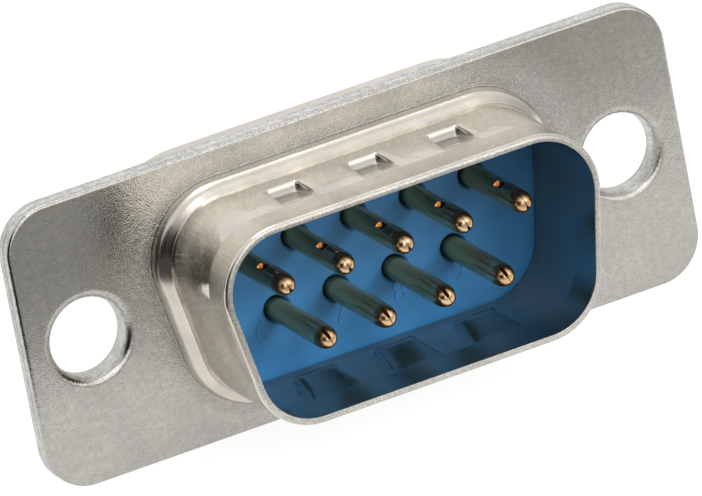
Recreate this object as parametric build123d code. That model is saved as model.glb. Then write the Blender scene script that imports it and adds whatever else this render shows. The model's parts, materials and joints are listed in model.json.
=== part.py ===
from build123d import *
import math
import os

# Nine-way D-sub plug with solder cups, in millimetres.
# X runs along the flange, Z points to the wide contact row and -Y is the mating direction.
# The origin is the middle of the flange's front face. A level is a distance in front of that face.

# Contact layout
TOP_COUNT = 5
PITCH = 2.77
ROW_SPACING = 2.84

# Keyed shroud, measured inside its rim
END_MARGIN = 2.86
ROW_MARGIN = 2.76
CORNER_R = 2.45
SIDE_SLOPE = 10.0
RIM_LEVEL = 6.05
RIM_BAND = 1.75
RIM_FLARE = 0.06
WALL_DRAFT = 0.12
SHROUD_WALL = 0.32

# Raised step round the foot of the shroud
STEP_RISE = 0.61
STEP_SLOPE = 0.35
STEP_LEDGE = 0.50
RIDGE_R = 0.60
ROOT_R = 0.10
FOOT_R = 0.05
INNER_ROOT_R = 0.25

# Flanges and the collars that hold the two shells together
SHEET = 0.45
FLANGE_MARGIN = 0.86
FLANGE_CORNER_R = 2.0
FLANGE_EDGE_R = 0.14
SCREW_OFFSET = 4.095
END_MARGIN_X = 2.90
HOLE_R = 1.70
HOLE_LIP_R = 0.38
COLLAR_WALL = 0.30
COLLAR_FIT = 0.04
SWAGE_REACH = 0.38
SWAGE_THICKNESS = 0.30
SWAGE_BEVEL = 0.22

# Grounding dimples, pressed in from outside
DIMPLE_COUNT = 3
DIMPLE_PITCH = 3.75
DIMPLE_LENGTH = 1.95
DIMPLE_BACK_WIDTH = 1.32
DIMPLE_FRONT_WIDTH = 1.70
DIMPLE_DEPTH = 0.40
DIMPLE_SETBACK = 0.10

# Rear shell
REAR_LEDGE = 0.34
REAR_DEPTH = 3.90
REAR_EDGE_R = 0.40
REAR_FOOT_R = 0.20
REAR_LIP = 0.75

# Insulators
FIT = 0.05
SPLIT_DEPTH = 1.90
REAR_FACE_DEPTH = 5.90
MOULD_EDGE_R = 0.15
ENTRY_R = 0.62
ENTRY_DEPTH = 0.20
CONTACT_FIT = 0.03

# Contacts, rolled from strip
PIN_R = 0.50
PIN_BORE_R = 0.26
TIP_LEVEL = 5.30
NOSE_LENGTH = 0.70
NOSE_FLAT_R = 0.12
NOSE_TAPER_R = 0.39
NOSE_TAPER_SETBACK = 0.24
NOSE_GAP = 0.34
NOSE_SLIT = 0.05
NOSE_SLIT_DEPTH = 0.62
SEAM = 0.06
WINDOW_SETBACK = 2.00
WINDOW_LENGTH = 0.50
WINDOW_WIDTH = 0.36
SEAT_DEPTH = 0.90
BARREL_R = 0.85
CUP_BORE_R = 0.60
BEAD_R = 1.03
CUP_LENGTH = 4.50
CUP_FLOOR = 0.70
SCOOP_START = 1.30
SCOOP_RAMP = 0.70
SCOOP_HEIGHT = 0.15

# Sizes that follow from the ones above
BOTTOM_COUNT = TOP_COUNT - 1
SHROUD_WIDTH = (TOP_COUNT - 1) * PITCH + 2 * END_MARGIN
SHROUD_HEIGHT = ROW_SPACING + 2 * ROW_MARGIN
HOLE_SPACING = SHROUD_WIDTH + 2 * SCREW_OFFSET
WAIST_LEVEL = RIM_LEVEL - RIM_BAND
WAIST_GROW = -RIM_FLARE
ROOT_GROW = WAIST_GROW + WALL_DRAFT
ROOT_LEVEL = STEP_RISE + STEP_SLOPE
STEP_GROW = ROOT_GROW + SHROUD_WALL + STEP_LEDGE
STEP_CAVITY_GROW = STEP_GROW - SHEET
REAR_GROW = STEP_GROW + REAR_LEDGE
REAR_CAVITY_GROW = REAR_GROW - SHEET
REAR_MOUTH_GROW = REAR_CAVITY_GROW - REAR_LIP
FLANGE_LENGTH = HOLE_SPACING + 2 * END_MARGIN_X
FLANGE_HEIGHT = SHROUD_HEIGHT + 2 * (REAR_GROW + FLANGE_MARGIN)
FLANGE_BACK = 2 * SHEET
FACE_LEVEL = STEP_RISE - SHEET
COLLAR_R = HOLE_R + COLLAR_WALL


def d_outline(grow, level):
    """The keyed outline inside the rim, grown evenly and set at a level in front of the flange face."""
    slope = math.radians(SIDE_SLOPE)
    half_height = SHROUD_HEIGHT / 2
    corner_centre = half_height - CORNER_R
    mid_width = SHROUD_WIDTH / 2 - corner_centre * math.tan(slope) + CORNER_R / math.cos(slope) - CORNER_R
    half_width = mid_width + grow / math.cos(slope)
    half_height += grow
    lean = half_height * math.tan(slope)
    corners = Polygon(
        (half_width + lean, half_height),
        (-half_width - lean, half_height),
        (-half_width + lean, -half_height),
        (half_width - lean, -half_height),
        align=None,
    )
    return Plane.XZ.offset(level) * fillet(corners.vertices(), CORNER_R + grow)


def d_block(grow, back, front):
    """A straight block with the keyed outline between two levels."""
    return extrude(d_outline(grow, back), front - back)


def d_taper(back_grow, back, front_grow, front):
    """A block whose keyed outline changes evenly between two levels."""
    return loft([d_outline(back_grow, back), d_outline(front_grow, front)], ruled=True)


def disc(x, z, radius, back, front):
    """A round block along the mating direction between two levels."""
    return extrude(Plane.XZ.offset(back) * Pos(x, z) * Circle(radius), front - back)


def edges_at(shape, level):
    """The edges that lie wholly at one level."""
    return shape.edges().filter_by_position(Axis.Y, -level - 1e-4, -level + 1e-4)


def outline_edges(shape, level, grow):
    """The edges of the keyed outline of a given size at one level."""
    box = d_outline(grow, level).bounding_box()
    reach = box.max.X + 1e-3
    height = box.max.Z + 1e-3
    found = []
    for edge in edges_at(shape, level):
        span = edge.bounding_box()
        inside = max(abs(span.min.X), abs(span.max.X)) < reach
        low = max(abs(span.min.Z), abs(span.max.Z)) < height
        if inside and low:
            found.append(edge)
    return found


def contact_places():
    """Every contact's number, place and side, counted left to right as the mating face is seen."""
    places = []
    for index in range(TOP_COUNT):
        places.append(((index - (TOP_COUNT - 1) / 2) * PITCH, ROW_SPACING / 2, True))
    for index in range(BOTTOM_COUNT):
        places.append(((index - (BOTTOM_COUNT - 1) / 2) * PITCH, -ROW_SPACING / 2, False))
    return places


def hole_places():
    return [-HOLE_SPACING / 2, HOLE_SPACING / 2]


def flange_plate(back, front):
    """One sheet of the flange between two levels."""
    outline = RectangleRounded(FLANGE_LENGTH, FLANGE_HEIGHT, FLANGE_CORNER_R)
    return extrude(Plane.XZ.offset(back) * outline, front - back)


def wall_grow(level):
    """How far the inside of the shroud's lower wall stands out from the rim outline at a level."""
    share = (level - ROOT_LEVEL) / (WAIST_LEVEL - ROOT_LEVEL)
    return ROOT_GROW + (WAIST_GROW - ROOT_GROW) * share


def dimple_wedge(x, offset, above, spread):
    """A wedge under the upper wall: deep at the back, rising to the wall at the front."""
    front = WAIST_LEVEL - DIMPLE_SETBACK
    back = front - DIMPLE_LENGTH
    back_surface = SHROUD_HEIGHT / 2 + wall_grow(back) + offset
    front_surface = SHROUD_HEIGHT / 2 + wall_grow(front) + offset
    top = back_surface + above
    half_back = DIMPLE_BACK_WIDTH / 2 + spread
    half_front = DIMPLE_FRONT_WIDTH / 2 + spread
    plan = Polygon(
        (x - half_front, -front),
        (x + half_front, -front),
        (x + half_back, -back + spread),
        (x - half_back, -back + spread),
        align=None,
    )
    side = Polygon(
        (-back + spread, back_surface - DIMPLE_DEPTH),
        (-front, front_surface),
        (-front, top),
        (-back + spread, top),
        align=None,
    )
    column = extrude(plan, top + half_front)
    ramp = extrude(Plane.YZ.offset(x) * side, half_front, both=True)
    return column & ramp


def dimples(offset, above, spread):
    """The row of wedges under the upper wall and its mirror image over the lower wall."""
    wedges = []
    for index in range(DIMPLE_COUNT):
        x = (index - (DIMPLE_COUNT - 1) / 2) * DIMPLE_PITCH
        wedge = dimple_wedge(x, offset, above, spread)
        wedges += [wedge, mirror(wedge, Plane.XY)]
    return wedges


def front_shell():
    """Flange, step and shroud drawn from one sheet, with the collars swaged over at the back."""
    solid = flange_plate(-SHEET, 0)
    solid = fillet(edges_at(solid, 0), FLANGE_EDGE_R)
    wall = SHROUD_WALL
    solid += d_block(STEP_GROW, 0, STEP_RISE)
    solid += d_taper(STEP_GROW, STEP_RISE, ROOT_GROW + wall, ROOT_LEVEL)
    solid += d_taper(ROOT_GROW + wall, ROOT_LEVEL, WAIST_GROW + wall, WAIST_LEVEL)
    solid += d_taper(WAIST_GROW + wall, WAIST_LEVEL, wall, RIM_LEVEL)
    solid = fillet(outline_edges(solid, 0, STEP_GROW), FOOT_R)
    solid = fillet(outline_edges(solid, STEP_RISE, STEP_GROW), RIDGE_R)
    solid = fillet(outline_edges(solid, ROOT_LEVEL, ROOT_GROW + wall), ROOT_R)

    cavity = d_block(STEP_CAVITY_GROW, -SHEET, FACE_LEVEL)
    cavity += d_taper(ROOT_GROW, FACE_LEVEL, WAIST_GROW, WAIST_LEVEL)
    cavity += d_taper(WAIST_GROW, WAIST_LEVEL, 0, RIM_LEVEL)
    cavity = fillet(outline_edges(cavity, FACE_LEVEL, ROOT_GROW), INNER_ROOT_R)
    solid -= cavity

    for bump in dimples(0, SHROUD_WALL / 2, SHROUD_WALL):
        solid += bump
    for recess in dimples(SHROUD_WALL, SHROUD_WALL, 0):
        solid -= recess

    swage_back = -FLANGE_BACK - SWAGE_THICKNESS
    for x in hole_places():
        solid += disc(x, 0, COLLAR_R, -FLANGE_BACK, -SHEET)
        solid += disc(x, 0, COLLAR_R + SWAGE_REACH, swage_back, -FLANGE_BACK)
        solid -= disc(x, 0, HOLE_R, swage_back, 0)
    bores = solid.edges().filter_by(GeomType.CIRCLE).filter_by(lambda edge: abs(edge.radius - HOLE_R) < 1e-4)
    solid = fillet(edges_at(bores, 0), HOLE_LIP_R)
    bores = solid.edges().filter_by(GeomType.CIRCLE).filter_by(lambda edge: abs(edge.radius - HOLE_R) < 1e-4)
    return chamfer(edges_at(bores, swage_back), SWAGE_BEVEL)


def rear_shell():
    """Flange and box drawn from a second sheet, turned in at the back to hold the insulators."""
    solid = flange_plate(-FLANGE_BACK, -SHEET)
    solid += d_block(REAR_GROW, -REAR_DEPTH, -FLANGE_BACK)
    solid = fillet(outline_edges(solid, -FLANGE_BACK, REAR_GROW), REAR_FOOT_R)
    solid = fillet(edges_at(solid, -REAR_DEPTH), REAR_EDGE_R)
    solid -= d_block(REAR_CAVITY_GROW, SHEET - REAR_DEPTH, -SHEET)
    solid -= d_block(REAR_MOUTH_GROW, -REAR_DEPTH, SHEET - REAR_DEPTH)
    for x in hole_places():
        solid -= disc(x, 0, COLLAR_R + COLLAR_FIT, -FLANGE_BACK, -SHEET)
    return solid


def front_insulator():
    """The moulding behind the mating face: it fills the step and bears on the back of the front sheet."""
    solid = d_block(STEP_CAVITY_GROW - FIT, -SHEET, FACE_LEVEL)
    solid += d_block(REAR_CAVITY_GROW - FIT, -SPLIT_DEPTH, -SHEET)
    hole_r = PIN_R + CONTACT_FIT
    for x, z, _ in contact_places():
        solid -= disc(x, z, hole_r, -SPLIT_DEPTH, FACE_LEVEL)
        solid -= disc(x, z, BEAD_R + CONTACT_FIT, -SPLIT_DEPTH, -SEAT_DEPTH)
        entry = Plane.XZ.offset(FACE_LEVEL - ENTRY_DEPTH) * Pos(x, z) * Circle(hole_r)
        mouth = Plane.XZ.offset(FACE_LEVEL) * Pos(x, z) * Circle(ENTRY_R)
        solid -= loft([entry, mouth], ruled=True)
    return solid


def rear_insulator():
    """The moulding in the rear shell: it traps the contact beads and stands out through the rear mouth."""
    shoulder = SHEET - REAR_DEPTH
    solid = d_block(REAR_CAVITY_GROW - FIT, shoulder, -SPLIT_DEPTH)
    solid += d_block(REAR_MOUTH_GROW - FIT, -REAR_FACE_DEPTH, shoulder)
    solid = fillet(edges_at(solid, -REAR_FACE_DEPTH), MOULD_EDGE_R)
    for x, z, _ in contact_places():
        solid -= disc(x, z, BARREL_R + CONTACT_FIT, -REAR_FACE_DEPTH, -SPLIT_DEPTH)
    return solid


def contact():
    """One rolled contact on the Y axis: slit nose, seam and window above, and a scooped solder cup behind."""
    cup_back = REAR_FACE_DEPTH + CUP_LENGTH
    nose_back = TIP_LEVEL - NOSE_LENGTH
    cup_floor = REAR_FACE_DEPTH + CUP_FLOOR
    section = Polyline(
        (PIN_R, -nose_back),
        (PIN_R, SEAT_DEPTH),
        (BEAD_R, SEAT_DEPTH),
        (BEAD_R, SPLIT_DEPTH),
        (BARREL_R, SPLIT_DEPTH),
        (BARREL_R, cup_back),
        (CUP_BORE_R, cup_back),
        (CUP_BORE_R, cup_floor),
        (PIN_BORE_R, cup_floor),
        (PIN_BORE_R, -nose_back),
        (0, -nose_back),
        (0, -TIP_LEVEL),
        (NOSE_FLAT_R, -TIP_LEVEL),
        (NOSE_TAPER_R, -TIP_LEVEL + NOSE_TAPER_SETBACK),
        close=True,
    )
    solid = revolve(make_face(section), Axis.Y)

    gap = Polygon(
        (-NOSE_GAP / 2, PIN_R),
        (-NOSE_SLIT / 2, NOSE_FLAT_R),
        (-NOSE_SLIT / 2, -NOSE_FLAT_R),
        (-NOSE_GAP / 2, -PIN_R),
        (NOSE_GAP / 2, -PIN_R),
        (NOSE_SLIT / 2, -NOSE_FLAT_R),
        (NOSE_SLIT / 2, NOSE_FLAT_R),
        (NOSE_GAP / 2, PIN_R),
        align=None,
    )
    solid -= extrude(Plane.XZ.offset(TIP_LEVEL - NOSE_SLIT_DEPTH) * gap, NOSE_SLIT_DEPTH)

    seam = Rectangle(SEAM, cup_floor + nose_back, align=(Align.CENTER, Align.MIN))
    solid -= extrude(Pos(0, -nose_back) * seam, BEAD_R)
    window = Rectangle(WINDOW_WIDTH, WINDOW_LENGTH)
    solid -= extrude(Pos(0, WINDOW_SETBACK - TIP_LEVEL) * window, PIN_R)

    scoop_start = REAR_FACE_DEPTH + SCOOP_START
    scoop = Polygon(
        (scoop_start, BARREL_R),
        (scoop_start + SCOOP_RAMP, SCOOP_HEIGHT),
        (cup_back, SCOOP_HEIGHT),
        (cup_back, BARREL_R),
        align=None,
    )
    return solid - extrude(Plane.YZ * scoop, BARREL_R, both=True)


def main():
    os.makedirs("parts", exist_ok=True)
    export_step(front_shell(), "parts/front_shell.step")
    export_step(rear_shell(), "parts/rear_shell.step")
    export_step(front_insulator(), "parts/front_insulator.step")
    export_step(rear_insulator(), "parts/rear_insulator.step")
    upright = contact()
    turned = Rot(0, 180, 0) * upright
    for number, (x, z, top) in enumerate(contact_places(), start=1):
        pin = upright if top else turned
        export_step(Pos(x, 0, z) * pin, f"parts/contact_{number}.step")


main()
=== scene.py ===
import json
import math
from functools import partial

import bmesh
import bpy
from mathutils import Matrix, Vector


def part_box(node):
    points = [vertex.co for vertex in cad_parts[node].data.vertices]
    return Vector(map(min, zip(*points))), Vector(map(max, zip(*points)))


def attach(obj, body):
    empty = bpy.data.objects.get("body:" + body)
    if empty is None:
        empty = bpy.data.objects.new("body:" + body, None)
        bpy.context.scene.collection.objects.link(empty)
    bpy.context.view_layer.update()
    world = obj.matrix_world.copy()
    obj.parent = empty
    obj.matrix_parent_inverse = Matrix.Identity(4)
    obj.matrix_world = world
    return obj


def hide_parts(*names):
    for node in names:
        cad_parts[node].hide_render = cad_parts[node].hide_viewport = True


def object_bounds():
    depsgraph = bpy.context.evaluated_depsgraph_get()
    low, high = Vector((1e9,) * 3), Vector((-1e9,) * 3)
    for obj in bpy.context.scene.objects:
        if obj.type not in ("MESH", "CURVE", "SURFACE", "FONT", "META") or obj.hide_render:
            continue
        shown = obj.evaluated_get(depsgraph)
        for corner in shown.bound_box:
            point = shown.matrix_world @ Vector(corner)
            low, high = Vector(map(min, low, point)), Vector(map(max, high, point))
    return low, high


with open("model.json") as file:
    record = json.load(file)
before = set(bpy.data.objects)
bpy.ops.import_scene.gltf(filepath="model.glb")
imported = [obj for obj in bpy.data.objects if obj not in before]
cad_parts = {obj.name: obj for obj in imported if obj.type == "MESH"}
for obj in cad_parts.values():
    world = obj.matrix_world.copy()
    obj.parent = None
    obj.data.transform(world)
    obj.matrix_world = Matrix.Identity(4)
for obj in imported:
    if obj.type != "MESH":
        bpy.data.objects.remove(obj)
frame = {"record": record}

bl_info = {
    "name": "D-sub plug",
    "version": (1, 0, 0),
    "blender": (4, 5, 0),
    "location": "View3D > Sidebar > Plug",
    "description": "Builds the visible pieces of a nine-way D-sub plug round its packed frame",
    "category": "Object",
}

CAD_BOX = [list(corner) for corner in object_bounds()]
IMAGE_WIDTH = 702


def mm(value):
    """Millimetres in the scene's metres."""
    return value * 0.001


# What the frame gives: everything is in metres, and a level is a distance in front of the flange's face.
SHELL_LOW, SHELL_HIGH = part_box("front_shell")
REAR_LOW, REAR_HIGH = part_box("rear_shell")
FACE_LOW, FACE_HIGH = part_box("front_insulator")
MOULD_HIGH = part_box("rear_insulator")[1]
PIN_LOW, PIN_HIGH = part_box("contact_1")
NEXT_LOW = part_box("contact_2")[0]
BELOW_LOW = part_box("contact_6")[0]
SCREWS = next(m for m in frame["record"]["mounts"] if m["name"] == "panel_screws")["dims"]

FLANGE_LENGTH = SHELL_HIGH.x - SHELL_LOW.x
FLANGE_HEIGHT = SHELL_HIGH.z - SHELL_LOW.z
RIM_LEVEL = -SHELL_LOW.y
SWAGE_BACK = SHELL_HIGH.y
SHEET = REAR_LOW.y
FLANGE_BACK = 2 * SHEET
REAR_DEPTH = REAR_HIGH.y
FACE_LEVEL = -FACE_LOW.y
SPLIT_DEPTH = FACE_HIGH.y
REAR_FACE_DEPTH = MOULD_HIGH.y
TIP_LEVEL = -PIN_LOW.y
CUP_BACK = PIN_HIGH.y
BEAD_R = (PIN_HIGH.x - PIN_LOW.x) / 2
PITCH = NEXT_LOW.x - PIN_LOW.x
ROW_SPACING = PIN_LOW.z - BELOW_LOW.z
HOLE_SPACING = mm(SCREWS["spacing_x_mm"])
HOLE_R = mm(SCREWS["hole_r_mm"])
WIDE_ROW = 5
NARROW_ROW = WIDE_ROW - 1

# How finely bends and rounds are cut
BEND_STEPS = 6
CORNER_STEPS = 18
HOLE_STEPS = 64
STRETCH_STEPS = 6
NOSE_STEPS = 12
SCOOP_STEPS = 8
PIN_COLUMNS = 20
FIGURE_STEPS = 6
SUPPORT = mm(0.03)
LONG_RUN = mm(0.25)
MERGE = mm(0.0002)
SLIVER = mm(0.0001)

# Angles in degrees past which an edge is shaded sharp
FIGURE_SHARP = 30
CONTACT_SHARP = 38

# Shares that shape the figures and the pins: the font's size for a figure of height 1, the figures' thinning,
# the nearer place of the corner figure, the notch's even part, how fast its slit closes, and the widest gap
FIGURE_SCALE = 1.35
FIGURE_THINNING = 0.012
CORNER_LIFT = 0.72
NOTCH_EVEN = 0.55
SLIT_FADE = 3
WIDEST_GAP = 0.9

# Noise values between which a mask runs from its first to its last value
SPECKLE_NOISE = (0.52, 0.68)
RIM_NOISE = (0.42, 0.58)
TONE_NOISE = (0.35, 0.75)
PATCH_NOISE = (0.35, 0.65)
# The fifth of these speckles the painted shade in the crease at the step's foot.
PAINTED_CREASE_SHADE_NOISE = (0.40, 0.60)
RIPPLE_NOISE = (0.42, 0.62)
FINISH_NOISE = (0.20, 0.80)
PLASTIC_NOISE = (0.30, 0.70)
FLASH_NOISE = (0.35, 0.70)
GRAIN_DETAIL = (2.0, 0.55)
DRIFT_DETAIL = (3.0, 0.5)

# Where the plating changes: each pair is where a change starts and where it ends
DRAWN = (mm(0.06), mm(0.30))
WALL = (mm(0.85), mm(1.10))
STRETCHED = (mm(0.9), mm(3.0))
CUT_RIM = (mm(0.10), mm(0.04))
CUT_SIDES = (mm(0.10), mm(0.20))
SIDES_END = mm(0.05)
SUNK = (mm(0.11), mm(0.17))
BAND_SOFT = mm(0.05)
# The next line is the width of the painted shade in the crease at the step's foot.
PAINTED_CREASE_SHADE_WIDTH = mm(0.24)
PLATING_DRIFT = mm(2.2)

# The plating's darker tones as shares of its colours, and what drawn walls keep of the flat sheet's marks
# The first and third of these shares are painted shade: inside the shroud and in the dimples, and in the
# crease at the step's foot.
SHADE, DULL, PAINTED_CREASE_SHADE, PIT, WORN = 0.45, 0.72, 0.35, 0.55, 0.6
DRAWN_PATCHES, DRAWN_PITS, DRAWN_GRAIN = 0.1, 0.05, 0.05
# The first of these is the least of the painted shade in the crease at the step's foot.
PAINTED_CREASE_SHADE_LEAST, RIPPLE_LEAST = 0.2, 0.15
FINISH_SPREAD = (0.85, 1.2)

# The moulding's and the flash's finish
PLASTIC_DRIFT = mm(2.5)
PLASTIC_RELIEF = mm(0.004)
PLASTIC_DEEP = 0.8
PLASTIC_SPREAD = (0.9, 1.15)
FLASH_GRAIN, FLASH_DRIFT = mm(0.10), mm(1.2)
FLASH_RELIEF = mm(0.0004)
FLASH_WEAR = (0.9, 0.82, 0.7)
FLASH_FINISH = (0.30, 0.70)

# Where painted shade darkens the flash behind the tip, and how far the painted highlight reaches round a
# window's middle
SHADED_SHANK = (mm(0.9), mm(1.4))
HIGHLIGHT_FRONT, HIGHLIGHT_BACK, HIGHLIGHT_FOOT, HIGHLIGHT_SOFT = mm(0.45), mm(0.28), mm(0.32), mm(0.05)

# The stage: lights are a name, a direction, a distance and a size
KEY_LIGHT = ("key", (0.50, -0.72, 0.45), 0.5, 0.25)
TOP_LIGHT = ("top", (0.05, 0.10, 1.0), 0.5, 0.26)
SKY_AXIS = (0.0, 0.55, 0.83)
SKY_RANGE = (-0.3, 0.5)
DISC_SOFT = math.radians(2.5)
CARD_HALF_WIDTH = mm(200)
CARD_RIGHT = 1.4
CARD_TURN = (mm(-5), mm(25))
NEAR_CARD_RISE, FAR_CARD_RISE = mm(0.05), mm(0.1)
DARK_FROM, DARK_TO = mm(30), 2.5
FLOOR_HALF = 3.0
MATT = 0.9
WHITE = (1.0, 1.0, 1.0, 1.0)
UP = Vector((0.0, 0.0, 1.0))
SENSOR_WIDTH = 36.0
CLIP_START = 0.01


def length(name, description, default):
    """A length in millimetres that the user may change."""
    return bpy.props.FloatProperty(
        name=name, description=description, default=mm(default), min=0.0, precision=5, unit="LENGTH"
    )


def colour(name, description, default):
    """A linear colour that the user may change."""
    return bpy.props.FloatVectorProperty(
        name=name, description=description, default=default, size=3, min=0.0, max=1.0, subtype="COLOR"
    )


def amount(name, description, default, high=1.0):
    """A plain number that the user may change."""
    return bpy.props.FloatProperty(name=name, description=description, default=default, min=0.0, max=high)


def angle(name, description, default):
    """An angle in degrees that the user may change."""
    return bpy.props.FloatProperty(
        name=name, description=description, default=math.radians(default), subtype="ANGLE", unit="ROTATION"
    )


class ShellSettings(bpy.types.PropertyGroup):
    """Sizes and finish of the two drawn sheets."""

    shroud_width: length("Shroud width", "Widest inside width at the rim", 16.80)
    shroud_height: length("Shroud height", "Inside height at the rim", 8.36)
    corner_radius: length("Corner radius", "Inside corner radius at the rim", 2.45)
    side_slope: angle("Side slope", "Lean of the keyed sides", 10.0)
    wall: length("Shroud wall", "Thickness of the drawn wall", 0.32)
    rim_band: length("Rim band", "Depth of the flared band behind the rim", 1.75)
    rim_flare: length("Rim flare", "How far the rim stands out from the waist", 0.06)
    wall_draft: length("Wall draft", "How far the root stands out from the waist", 0.12)
    rim_edge: length("Rim edge", "Rounding of the cut rim inside", 0.03)
    rim_round: length("Rim rounding", "Rounding of the rim outside, where it rolled over", 0.19)
    step_rise: length("Step rise", "Height of the step's upright side round the shroud's foot", 0.61)
    step_slope: length("Step slope", "Height of the slope from the step to the shroud", 0.35)
    step_ledge: length("Step ledge", "Width of the step's slope", 0.50)
    ridge_radius: length("Ridge radius", "Bend at the top of the step", 0.60)
    root_radius: length("Root radius", "Bend where the shroud leaves the step", 0.10)
    foot_radius: length("Foot radius", "Bend where the step leaves the flange", 0.03)
    inner_root_radius: length("Inner root radius", "Bend inside the shroud's root", 0.25)
    flange_corner: length("Flange corner", "Corner radius of the flange", 2.0)
    flange_edge: length("Flange edge", "Rounding of the flange's front edge", 0.14)
    sheet_edge: length("Sheet edge", "Rounding of the sheets' other cut edges", 0.05)
    hole_lip: length("Hole lip", "Rounding of the screw holes in front", 0.38)
    collar_wall: length("Collar wall", "Thickness of the drawn collars", 0.30)
    collar_fit: length("Collar fit", "Play between a collar and the rear sheet", 0.04)
    swage_reach: length("Swage reach", "How far the swaged lip stands out behind", 0.38)
    swage_bevel: length("Swage bevel", "Rolled edge of the swaged bore", 0.22)
    dimple_pitch: length("Dimple pitch", "Distance between grounding dimples", 3.75)
    dimple_length: length("Dimple length", "Length of a grounding dimple", 1.95)
    dimple_back: length("Dimple back", "Width of a dimple at its deep end", 1.32)
    dimple_front: length("Dimple front", "Width of a dimple at its shallow end", 1.70)
    dimple_depth: length("Dimple depth", "Depth of a dimple at its deep end", 0.40)
    dimple_setback: length("Dimple setback", "Distance from a dimple to the crease in front of it", 0.10)
    dimple_round: length("Dimple rounding", "Half the width of a dimple's side walls", 0.09)
    rear_ledge: length("Rear ledge", "How far the rear box stands out past the step", 0.34)
    rear_edge: length("Rear edge", "Bend at the back of the rear box", 0.40)
    rear_foot: length("Rear foot", "Bend where the rear box leaves its flange", 0.20)
    rear_lip: length("Rear lip", "Width of the turned-in lip at the back", 0.75)
    satin_colour: colour("Satin colour", "Plating on the flat sheet", (0.585, 0.57, 0.525))
    bright_colour: colour("Bright colour", "Plating on the drawn walls", (0.80, 0.74, 0.655))
    cut_colour: colour("Cut colour", "Metal on the cut edges", (0.84, 0.86, 0.83))
    cut_roughness: amount("Cut roughness", "Roughness of the cut edges", 0.36)
    step_roughness: amount("Step roughness", "Roughness of the step", 0.24)
    satin_roughness: amount("Satin roughness", "Roughness of the flat sheet", 0.14)
    bright_roughness: amount("Bright roughness", "Roughness of the drawn walls", 0.09)
    inner_roughness: amount("Inner roughness", "Roughness inside the shroud", 0.23)
    grain: length("Grain", "Size of the plating's grain", 0.07)
    grain_depth: length("Grain depth", "Height of the plating's grain", 0.010)
    cloud: length("Cloud", "Size of the soft patches in the plating", 0.30)
    cloud_depth: length("Cloud depth", "Height of the soft patches", 0.008)
    ripple_pitch: length("Ripple pitch", "Distance between the ripples round the step", 0.55)
    ripple_depth: length("Ripple depth", "Height of the ripples round the step", 0.0045)
    wave_depth: length("Wave depth", "Height of the slow waves in the drawn walls", 0.035)
    stretch_grain: amount("Stretch grain", "How much the grain rises in stretched sheet", 2.6, 10.0)
    drift_tone: amount("Drift tone", "Strength of the slow drift towards a dull tone", 0.50)
    patch_tone: amount("Patch tone", "Strength of the soft patches' dull tone", 0.55)
    pit_tone: amount("Pit tone", "Strength of the dark pits in the grain", 0.80)
    # Painted shade: the dark fringe in the crease at the step's foot
    foot_painted_crease_shade: amount("Foot painted shade", "Strength of the dark fringe at the step's foot", 0.35)
    # Painted shade inside the shroud
    inner_shade: amount("Inner shade", "Strength of the darker tone inside the shroud", 0.85)
    # Painted shade in the dimples
    dimple_shade: amount("Dimple shade", "Strength of the darker tone in the dimples", 0.65)
    dimple_roughness: amount("Dimple roughness", "Roughness that the dimples add", 0.22)


class MouldingSettings(bpy.types.PropertyGroup):
    """Sizes and finish of the two insulators."""

    fit: length("Fit", "Play between a moulding and its shell", 0.05)
    edge: length("Edge", "Rounding of the mouldings' edges", 0.06)
    rear_edge: length("Rear edge", "Rounding of the rear face", 0.15)
    entry_radius: length("Entry radius", "Mouth of a contact's countersink", 0.62)
    entry_depth: length("Entry depth", "Depth of a contact's countersink", 0.20)
    contact_fit: length("Contact fit", "Play round a contact", 0.03)
    number_height: length("Number height", "Height of a contact number", 1.0)
    number_rise: length("Number rise", "How far a number stands out", 0.04)
    number_drop: length("Number drop", "Distance from a contact to its number", 1.08)
    corner_number: length("Corner number", "How far the number at the narrow row's corner stands aside", 0.90)
    plastic_colour: colour("Plastic colour", "Colour of the blue moulding", (0.052, 0.27, 0.60))
    roughness: amount("Roughness", "Roughness of the moulding", 0.42)
    grain: length("Grain", "Size of the mould's fine texture", 0.12)


class ContactSettings(bpy.types.PropertyGroup):
    """Sizes and finish of the rolled contacts."""

    pin_radius: length("Pin radius", "Radius of the pin", 0.50)
    bore_radius: length("Bore radius", "Hollow inside the rolled pin", 0.26)
    nose_length: length("Nose length", "Length of the rounded nose", 0.70)
    nose_flat: length("Nose flat", "Radius of the flat at the tip", 0.12)
    nose_gap: length("Nose gap", "Width of the notch across the nose", 0.16)
    nose_slit: length("Nose slit", "Width of the slit at the bottom of the notch", 0.03)
    nose_slit_depth: length("Nose slit depth", "Length of the notch", 0.42)
    seam: length("Seam", "Width of the rolled seam", 0.015)
    window_setback: length("Window setback", "Distance from the tip to the window", 2.00)
    window_length: length("Window length", "Length of the window", 0.50)
    window_width: length("Window width", "Width of the window", 0.36)
    window_slant: length("Window slant", "How far the window's ends lean back", 0.10)
    roll: angle("Roll", "Turn of the nose and the window about the pin's axis", 20.0)
    seat_depth: length("Seat depth", "Depth of the shoulder that stops the contact", 0.90)
    barrel_radius: length("Barrel radius", "Radius of the barrel and the cup", 0.85)
    cup_bore: length("Cup bore", "Bore radius of the solder cup", 0.60)
    cup_floor: length("Cup floor", "Depth of the cup's floor behind the moulding", 0.70)
    scoop_start: length("Scoop start", "Where the cup starts to open, behind the moulding", 1.30)
    scoop_ramp: length("Scoop ramp", "Length of the slope into the open cup", 0.70)
    scoop_height: length("Scoop height", "Height of the open cup's sides above its axis", 0.15)
    gold_colour: colour("Gold colour", "Colour of the gold flash", (0.86, 0.61, 0.37))
    # Painted shade on the shank behind the nose
    shank_shade_colour: colour("Shank colour", "Colour of the thinner flash behind the nose", (0.80, 0.46, 0.185))
    # Painted highlight round the window
    window_highlight_colour: colour("Window colour", "Colour of the bare metal round the window", (0.93, 0.79, 0.61))
    roughness: amount("Roughness", "Roughness of the gold", 0.22)


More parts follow.
